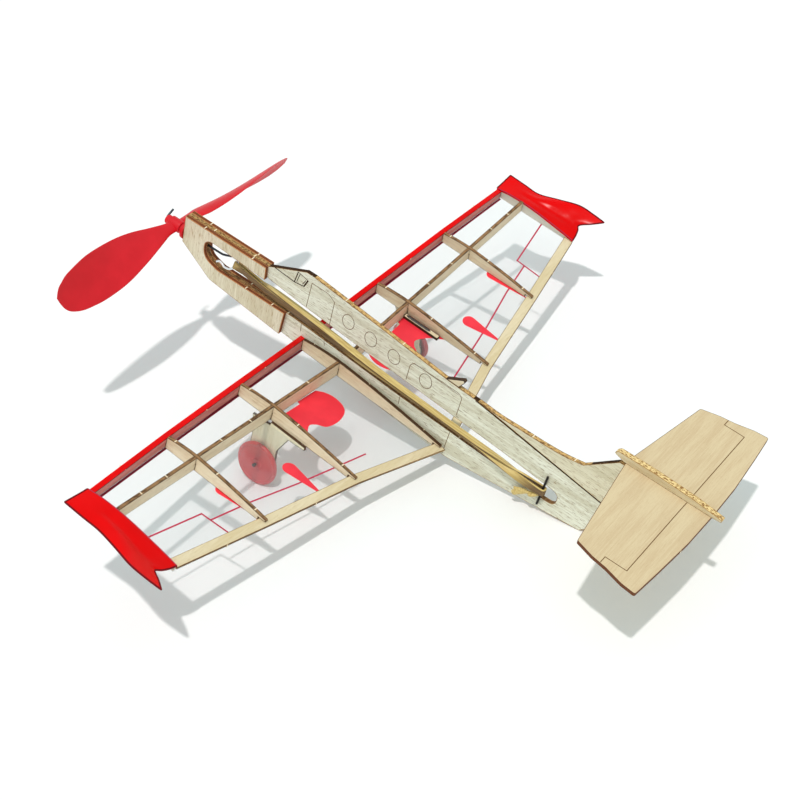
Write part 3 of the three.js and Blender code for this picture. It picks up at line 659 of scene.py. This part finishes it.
# one leg of the loop each: y, centre x and z, lean of the strip's wide side from upright in degrees
NEAR = [(-33.4, -0.55, -11.9, 0), (-45, -0.6, -13.9, 0), (-54.5, -0.6, -14.8, 0), (-71.7, -0.6, -16.1, 0),
        (-89, -0.6, -17.4, -6), (-100, -0.4, -18.7, -35), (-111, -0.2, -19.6, -62), (-125, -0.1, -20.8, -84),
        (-138.5, 0, -21.55, -90), (-165, -0.7, -22.7, -90), (-178, -1.8, -23.2, -68), (-188, -2.9, -23.2, -28),
        (-196, -3.15, -22.9, 0)]
FAR = [(-33.4, 0.55, -11.7, 0), (-39, 0.6, -11.8, 18), (-46, 0.55, -12.0, 60), (-54.5, 0.5, -12.8, 88),
       (-71.7, 0.1, -14.0, 92), (-89, -0.5, -15.4, 98), (-100, -0.5, -17.0, 96), (-111, -0.45, -18.4, 92),
       (-138.5, -0.3, -20.6, 90), (-165, -0.7, -21.8, 90), (-178, -0.65, -22.1, 66), (-188, -0.55, -22.4, 24),
       (-196, -0.55, -22.9, 0)]
BAND_START = -33.4      # where the bight on the hook ends and the legs begin
PEG = (-1.85, -197.6, -22.9)
PEG_BEND = 1.3          # radius of the bend round the peg
STRIP = (0.45, 1.6, 0.16)   # half thickness, half width and corner radius of the rubber
HOOK = Vector((-0.61, -29.1, THRUST_Z - 0.51))


def strip(table, y):
    """Centre of a leg at y and the direction of its wide side."""
    x, z, lean = (along([(row[0], row[k]) for row in table], y) for k in (1, 2, 3))
    lean = math.radians(lean)
    return Vector((x, y, z)), Vector((-math.sin(lean), 0, math.cos(lean)))


def eased(pairs, rounds):
    """Pairs of vectors, each drawn towards its neighbours, so that the strip has no kink."""
    for _ in range(rounds):
        pairs = [pairs[0]] + [tuple((pairs[i - 1][k] + 2 * pairs[i][k] + pairs[i + 1][k]) / 4 for k in (0, 1))
                              for i in range(1, len(pairs) - 1)] + [pairs[-1]]
    return pairs


def band(name, pairs, body, node):
    """Rubber strip along pairs of centre and wide-side direction; faces that don't look up get painted shade, set
    per vertex from the normal.
    """
    bm = bmesh.new()
    sweep(bm, [p for p, _ in pairs], rounded_bar(*STRIP), [up for _, up in pairs], AIR)
    outward(bm)
    bm.normal_update()
    # painted shade: the less a vertex normal looks up, the darker the rubber colour there
    shade = bm.verts.layers.float.new("burn")
    turn = AIR.inverted().to_3x3()
    for v in bm.verts:
        v[shade] = min(1.0, max(0.0, 1.25 - 1.7 * (turn @ v.normal).normalized().z))
    finish_piece(name, bm, [M["rubber"]], body, (node,), order=(1, 0, 2), smooth=50)


runs = [BAND_START - 2.5 * k for k in range(66)]
round_peg = [(Vector((PEG[0] - PEG_BEND * math.cos(a), PEG[1] - PEG_BEND * math.sin(a), PEG[2])), Vector((0, 0, 1)))
             for a in (math.pi * k / 16 for k in range(17))]
band("band_strands", eased([strip(NEAR, y) for y in runs] + round_peg + [strip(FAR, y) for y in runs[::-1]], 3),
     "airframe", "rubber_strands")

# the bight on the hook leans with the hook's eye and straightens up to meet the strands
lean = math.radians(-25)
out, up = Vector((math.cos(lean), 0, math.sin(lean))), Vector((-math.sin(lean), 0, math.cos(lean)))


def bight_leg(table, hand):
    """From the start of a leg to one side of the hook."""
    start, wide = strip(table, BAND_START)
    end = HOOK + out * 1.0 * hand
    return [(start.lerp(end, k / 6), wide.lerp(up, k / 6)) for k in range(6)]


nose = [(HOOK - out * math.cos(a) + Vector((0, math.sin(a), 0)), up)
        for a in (math.pi * k / 12 for k in range(13))]
band("band_bight", eased(bight_leg(NEAR, -1) + nose + bight_leg(FAR, 1)[::-1], 1), "propeller",
     "rubber_front_bight")

# knotted ends: a small lump below the near leg, flaring into frayed strips
bm = bmesh.new()
for k, (x, z, reach) in enumerate(((-3.5, -31.4, 0.0), (-3.1, -32.5, 0.6), (-2.5, -30.4, -0.6),
                                   (-3.3, -29.4, 0.4))):
    path = curve([(-2.6, -195.4, -26.2), (-2.7, -192.6, -27.4), (-2.8 + 0.1 * k, -190.0, -28.6 + 0.25 * (z + 31)),
                  (x, -186.6 + reach, z)], 6)
    rings = []
    for i, p in enumerate(path):
        grow = i / (len(path) - 1)
        d = (path[min(i + 1, len(path) - 1)] - path[max(i - 1, 0)]).normalized()
        side = d.cross(Vector((1, 0, 0))).normalized()
        wide, thick = 0.75 + 0.45 * grow + 0.12 * math.sin(9 * grow + k), 0.55 - 0.3 * grow
        rings.append([p + side * wide * math.cos(a) + d.cross(side) * thick * math.sin(a)
                      for a in (2 * math.pi * j / 12 for j in range(12))])
    loft(bm, rings, AIR)
tube(bm, curve([(-2.2, -196.6, -25.4), (-3.3, -195.6, -26.0), (-3.6, -194.0, -27.1), (-2.7, -193.4, -27.9),
                (-1.7, -194.4, -27.2), (-1.9, -196.0, -26.0)], 6), 0.75, AIR, 14)
outward(bm)
finish_piece("band_knot", bm, [M["rubber"]], "airframe", ("rubber_knot",), smooth=60)

# the pin that holds the rear of the band
bm = bmesh.new()
tube(bm, curve([(-1.85, -198.1, -14.0), (-1.75, -197.7, -22.7), (-1.85, -197.3, -31.4)], 10), 0.5, AIR, 20,
     taper=0.1)
outward(bm)
finish_piece("peg", bm, [M["dark"]], "airframe", ("motor_peg",), smooth=60)

# ------------------------------------------------------------ wings
# at the four ribs: place along the span, front and rear of the chord
RIB_AT = (0.8, 46.9, 94.5, 139.2)
LE_V = (23.0, 20.6, 17.9, 15.0)
TE_V = (-59.6, -48.0, -39.5, -31.0)


def at_span(table, u):
    """Value at u of a table given at the four ribs."""
    for i in range(3):
        if u <= RIB_AT[i + 1] or i == 2:
            t = (u - RIB_AT[i]) / (RIB_AT[i + 1] - RIB_AT[i])
            return table[i] + t * (table[i + 1] - table[i])


def flat_uv(x, y):
    """Panel coordinates of a point given level, span out from the fuselage and length from the nose."""
    return ((x - 1.45) * 1.0072, (y + 91) * 1.0015)


# the tip, front to rear: [v, w] on the outermost rib, then [u, v, w] at its outer edge
ROWS = [
    [(15.0, 4.4), (150.3, 15.2, 4.9)], [(8, 5.5), (150.2, 6, 4.6)], [(0, 5.8), (150.1, -2.2, 4.5)],
    [(-9, 5.3), (152.6, -12, 6.1)], [(-18, 4.2), (155.4, -22.2, 7.5)], [(-25, 3.2), (155.5, -30.5, 7.4)],
]
INNER = RIB_AT[3] - 0.6     # where the tip laps over the outermost rib
SHELL = 0.35                # thickness of the formed tip
FILM = (-0.1, -0.16)        # upper and lower face of the covering
SLIT = ((47.85, -1.9), (49.95, -1.9), (49.95, -21.5), (47.85, -21.5))
INK = 0.03
RISE = (1.3, 1.3, 1.4, 2.6, 3.0, 2.4)
tip = [[(INNER, v0, w0 - 1.5)] + [(INNER + (u1 - INNER) * t, v0 + (v1 - v0) * t, w0 + (w1 - w0) * t ** power)
                                  for t in (0, .2, .4, .6, .8, 1)]
       for ((v0, w0), (u1, v1, w1)), power in zip(ROWS, RISE)]
tip.append([(INNER, -31.0, 0.9), (INNER, -31.0, 2.1), (141.8, -30.4, 2.5), (145.0, -29.4, 3.1),
            (147.8, -28.2, 3.8), (151.4, -33.0, 5.6), (155.0, -37.3, 7.2)])
# shallow dents and swellings of the formed skin
for i, j, lift in ((2, 3, -0.3), (2, 4, 0.3), (3, 3, -0.5), (3, 4, 0.6), (3, 5, 0.7), (4, 3, -0.6),
                   (4, 4, 0.2), (4, 5, 0.5)):
    u, v, w = tip[i][j]
    tip[i][j] = (u, v, w + lift)
tip[5][4] = (147.9, -25.6, 4.6)
tip[5][5] = (151.8, -28.4, 6.0)


def tip_mesh(bm, to):
    """Formed tip as a thin shell: smooth rows, a pinched fold across the rear corner, folded-under rims."""
    cols = [curve(row, 5) for row in tip]
    grid = list(zip(*[curve([c[j] for c in cols], 6) for j in range(len(cols[0]))]))
    top = [[bm.verts.new(to @ Vector(p)) for p in row] for row in grid]
    low = [[bm.verts.new(to @ (Vector(p) - Vector((0, 0, SHELL)))) for p in row] for row in grid]
    n, m = len(grid), len(grid[0])
    for i in range(n - 1):
        for j in range(m - 1):
            bm.faces.new((top[i][j], top[i + 1][j], top[i + 1][j + 1], top[i][j + 1]))
            bm.faces.new((low[i][j], low[i][j + 1], low[i + 1][j + 1], low[i + 1][j]))
    loop = ([(0, j) for j in range(m)] + [(i, m - 1) for i in range(1, n)]
            + [(n - 1, j) for j in range(m - 2, -1, -1)] + [(i, 0) for i in range(n - 2, 0, -1)])
    for (a, b), (c, d) in zip(loop, loop[1:] + loop[:1]):
        bm.faces.new((top[a][b], top[c][d], low[c][d], low[a][b])).material_index = 1
    for rim in (grid[0][5:], [row[-1] for row in grid], grid[-1][5:]):
        tube(bm, [Vector(p) - Vector((0, 0, 0.12)) for p in rim], 0.38, to, 8, index=1, taper=0.1)
    tube(bm, [Vector(row[5]) + Vector((-0.1, 0, -0.02)) for row in grid], 0.24, to, 8, index=2, taper=0.1)


for side, flip in SIDES:
    P = flip @ WING
    body = "airframe"
    for i, rib in enumerate(("root_rib", "rib_2", "rib_3")):
        u = RIB_AT[i]
        veneer(f"{rib}_sheet_{side}", f"{rib}_{side}", "rib", P, (1, 2, 0),
               nicks=[(u, LE_V[i] * 0.62, 6), (u, TE_V[i] * 0.28, 6), (u, TE_V[i] * 0.8, 3)])
    veneer(f"tip_rib_sheet_{side}", f"tip_rib_{side}", "pale", P, (1, 2, 0), halo=0.2)
    veneer(f"spar_sheet_{side}", f"main_spar_{side}", "rib", P, (0, 2, 1),
           nicks=[(24, 0, 7), (62, 0, 7), (80, 0, 7), (112, 0, 6), (126, 0, 6)])
    veneer(f"le_strip_{side}", f"leading_edge_{side}", "pink", P, (0, 1, 2), halo=0.3,
           nicks=[(30, 18, 5), (70, 16, 5), (120, 12, 5)])
    veneer(f"te_strip_{side}", f"trailing_edge_{side}", "strip", P, (0, 1, 2), halo=0.25,
           nicks=[(70, -43, 0.5), (115, -36, 0.5)])
    veneer(f"pad_{side}", f"gear_pad_{side}", "dusky", P, (1, 0, 2), halo=0.3)
    veneer(f"leg_{side}", f"gear_leg_{side}", "leg", flip @ GEAR, (2, 1, 0), halo=0.3)

    # bead of dark glue along the pad
    bm = bmesh.new()
    rings = []
    for k in range(29):
        v = -2.0 - 13.6 * k / 28
        swell = min(1.0, 0.25 + min(k, 28 - k) / 3) * (1 + 0.12 * noise.noise((0.9 * v, 3, 0)))
        rings.append([(44.3 + 0.78 * swell * math.cos(a), v, 1.5 + 0.3 * swell * max(-0.1, math.sin(a)))
                      for a in (2 * math.pi * j / 16 for j in range(16))])
    loft(bm, rings, P)
    outward(bm)
    finish_piece(f"glue_{side}", bm, [M["glue"]], body, (), P, smooth=60)

    # red covering folded over the leading edge
    bm = cad_mesh(f"le_wrap_{side}")
    bmesh.ops.bevel(bm, geom=[e for e in bm.edges if e.calc_face_angle(0) > 0.3], offset=0.1 * MM, segments=3,
                    profile=0.5, affect="EDGES")
    finish_piece(f"le_cover_{side}", bm, [M["tip"]], body, (f"le_wrap_{side}",), P, smooth=50)

    # formed tip
    bm = bmesh.new()
    tip_mesh(bm, P)
    outward(bm)
    finish_piece(f"tip_shell_{side}", bm, [M["tip"], M["rim"], M["seam"]], body,
                 (f"tip_fairing_{side}",), P, smooth=40)

    # covering film, slit for the leg
    outline = [(0, LE_V[0]), (46.9, LE_V[1]), (94.5, LE_V[2]), (140.2, LE_V[3]), (140.2, TE_V[3]), (94.5, TE_V[2]),
               (46.9, TE_V[1]), (0, TE_V[0])]
    bm = bmesh.new()
    for w in FILM:
        o = [bm.verts.new(P @ Vector((a, b, w))) for a, b in outline]
        h = [bm.verts.new(P @ Vector((a, b, w))) for a, b in SLIT]
        for ring in ((o[0], o[1], h[0], h[3], o[6], o[7]), (o[1], o[2], o[3], o[4], o[5], h[2], h[1]),
                     (o[1], h[1], h[0]), (o[5], o[6], h[3], h[2])):
            bm.faces.new(ring)
    bm.verts.ensure_lookup_table()
    for base, n in ((0, 8), (8, 4)):
        for k in range(n):
            a, b = base + k, base + (k + 1) % n
            bm.faces.new((bm.verts[a], bm.verts[b], bm.verts[b + 12], bm.verts[a + 12]))
    outward(bm)
    film = finish_piece(f"covering_{side}", bm, [M["film"]], body, (f"wing_film_{side}",), P, smooth=0)

    # printed shapes on top of the film
    bm = bmesh.new()
    on_film = P @ Matrix.Translation((0, 0, -0.095))
    blob = [flat_uv(x, y) for x, y in (
        (46.0, -91.9), (40.6, -91.9), (40.2, -93.3), (31.0, -93.4), (30.6, -91.9), (18.6, -92.1))]
    blob += [tuple(p) for p in curve([flat_uv(x, y) for x, y in (
        (18.6, -92.1), (16.0, -95.6), (14.9, -100.3), (16.0, -105.6), (19.2, -109.0), (25.5, -110.6),
        (32.0, -109.6), (34.9, -105.8), (38.0, -104.4), (43.2, -108.0), (47.3, -113.5))], 6)][1:]
    blob += [flat_uv(47.3, -93)]
    teardrop = []
    for head, r, tail_at in (((64, -115.2), 3.1, (64.6, -134.5)), ((95.0, -106.0), 2.8, (94.5, -127.7))):
        turn = math.atan2(tail_at[1] - head[1], tail_at[0] - head[0])
        ring = arc(*head, r, math.degrees(turn) + 80, math.degrees(turn) + 280, 20)
        teardrop.append([flat_uv(*p) for p in ring] + [flat_uv(*tail_at)])
    for shape in (blob, *teardrop):
        top = [bm.verts.new(on_film @ Vector((a, b, INK))) for a, b in shape]
        low = [bm.verts.new(on_film @ Vector((a, b, 0))) for a, b in shape]
        bm.faces.new(top)
        bm.faces.new(low[::-1])
        for k in range(len(top)):
            j = (k + 1) % len(top)
            bm.faces.new((top[k], low[k], low[j], top[j]))
    for line in ([(31.2, -130.0), (46.7, -127.0), (67.9, -122.8), (90.4, -117.4), (110.4, -113.7)],
                 [(109.8, -123.7), (110.8, -109.3), (139.5, -103.9)]):
        ribbon(bm, [flat_uv(*p) for p in line], 0.75, on_film, thick=0.025, index=1)
    # red print band behind the leading edge, in the maroon of painted shade
    ribbon(bm, [(u, at_span(LE_V, u) - 3.55) for u in (0.3, 46.9, 94.5, 138)], 1.1, on_film, thick=0.025, index=2)
    outward(bm)
    finish_piece(f"printing_{side}", bm, [M["print"], M["line"], M["band"]], body, (), P, smooth=0)

    # wheel with a stepped disc, and its pin
    turned = flip @ GEAR @ Matrix.Rotation(math.radians(-90), 4, "Z")
    bm = bmesh.new()
    half = 1.2
    profile = [(0.65, -half - 0.05), (2.4, -half - 0.05), (2.7, -half + 0.35), (4.2, -half + 0.5),
               (8.4, -half + 0.5), (8.8, -half + 0.05), (9.5, -half + 0.05), (10.1, -0.5), (10.1, 0.5),
               (9.5, half - 0.05), (8.8, half - 0.05), (8.4, half - 0.5), (4.2, half - 0.5), (2.7, half - 0.35),
               (2.4, half + 0.1), (0.65, half + 0.1)]
    lathe(bm, rounded(profile, 0.25, 3), turned, 96, bore=0.65)
    outward(bm)
    finish_piece(f"disc_{side}", bm, [M["wheel"]], f"wheel_{side}", (f"wheel_{side}",), P, smooth=35)
    bm = bmesh.new()
    ends = -half - 2.6
    lathe(bm, rounded([(0.01, ends), (0.95, ends), (0.95, ends + 0.7), (0.45, ends + 0.75), (0.45, half + 0.9),
                       (0.85, half + 0.9), (0.85, half + 1.5), (0.01, half + 1.6)], 0.15, 3), turned, 32)
    outward(bm)
    finish_piece(f"pin_{side}", bm, [M["dark"]], body, (f"axle_{side}",), P, smooth=40)

# ------------------------------------------------------------ floor
bpy.ops.mesh.primitive_plane_add(size=6, location=(0, 0, 0))
floor = bpy.context.object
floor.name = "floor"
floor.data.materials.append(Shade("floor", 0.9, Specular_IOR_Level=0.0).colour((0.9, 0.9, 0.9)).mat)
